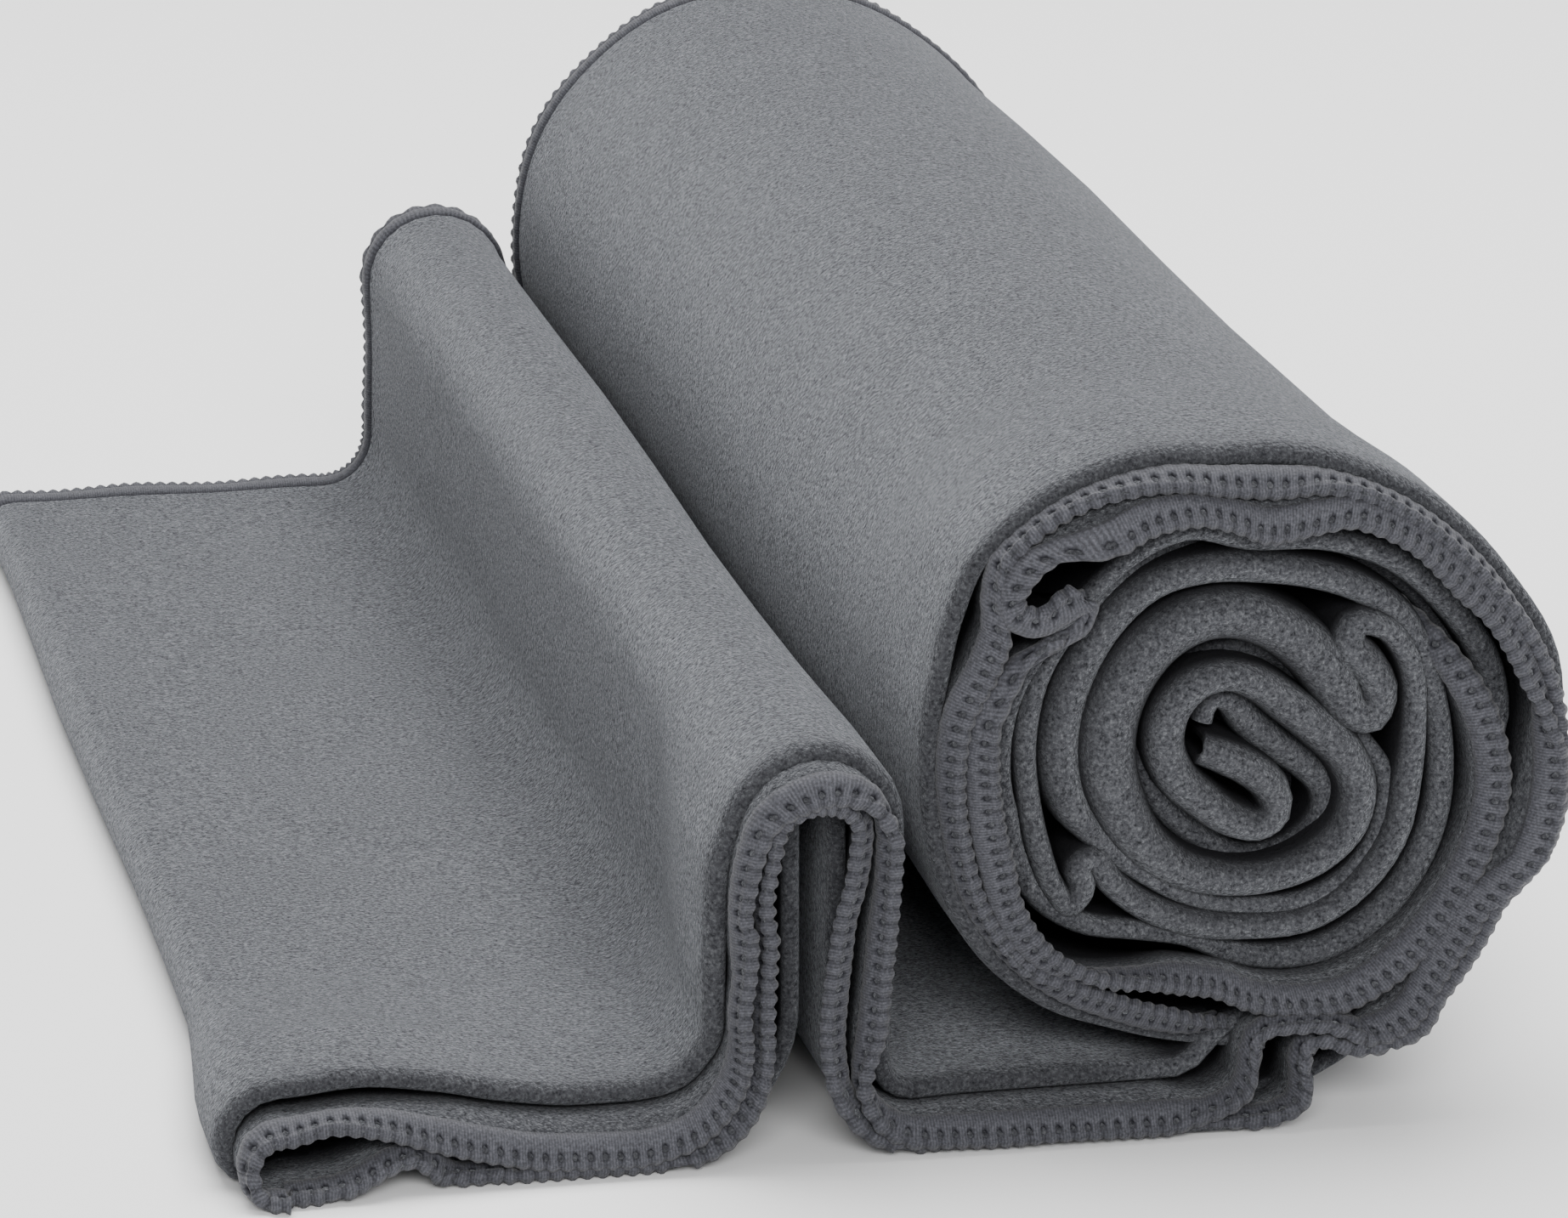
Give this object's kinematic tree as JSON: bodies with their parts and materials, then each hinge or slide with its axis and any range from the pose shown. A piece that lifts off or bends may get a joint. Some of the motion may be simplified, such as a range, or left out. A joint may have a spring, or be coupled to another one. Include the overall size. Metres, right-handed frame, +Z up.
{
  "type": "quick dry towel",
  "caption": "Microfibre towel with overlocked edges, folded in thirds and rolled up, with one standing pleat and a loose flat tail that lifts.",
  "frame": {"origin": "on the surface that the towel lies on, under the middle of its bounding box", "axes": "+X from the flat tail towards the roll, +Y along the roll from the end with the hems to the far end, +Z up"},
  "size_m": [0.168, 0.304, 0.0865],
  "materials": {
    "suede_cloth": "matte brushed microfibre suede with a fine pile",
    "edging_thread": "satin overlock thread"
  },
  "bodies": {
    "roll": {"pleat_upper_fold": "suede_cloth", "pleat_upper_leaf": "suede_cloth", "pleat_lower_fold": "suede_cloth", "pleat_lower_leaf": "suede_cloth", "underlay_upper_fold": "suede_cloth", "underlay_upper_leaf": "suede_cloth", "underlay_lower_fold": "suede_cloth", "underlay_lower_leaf": "suede_cloth", "roll_upper_fold": "suede_cloth", "roll_upper_leaf": "suede_cloth", "roll_lower_fold": "suede_cloth", "roll_lower_leaf": "suede_cloth", "near_edging_upper": "edging_thread", "near_edging_lower": "edging_thread", "far_edging_upper": "edging_thread", "far_edging_lower": "edging_thread", "short_end_edging_upper": "edging_thread", "short_end_edging_lower": "edging_thread"},
    "tail": {"tail_outer_fold": "suede_cloth", "tail_hem_leaf": "suede_cloth", "tail_near_edging": "edging_thread", "tail_far_edging": "edging_thread"}
  },
  "joints": [
    {"name": "tail_lift", "type": "hinge", "parent": "roll", "child": "tail", "pos_m": [-0.03115, 0, 0.0085], "axis": [0, 1, 0], "range_deg": [0, 75]}
  ]
}
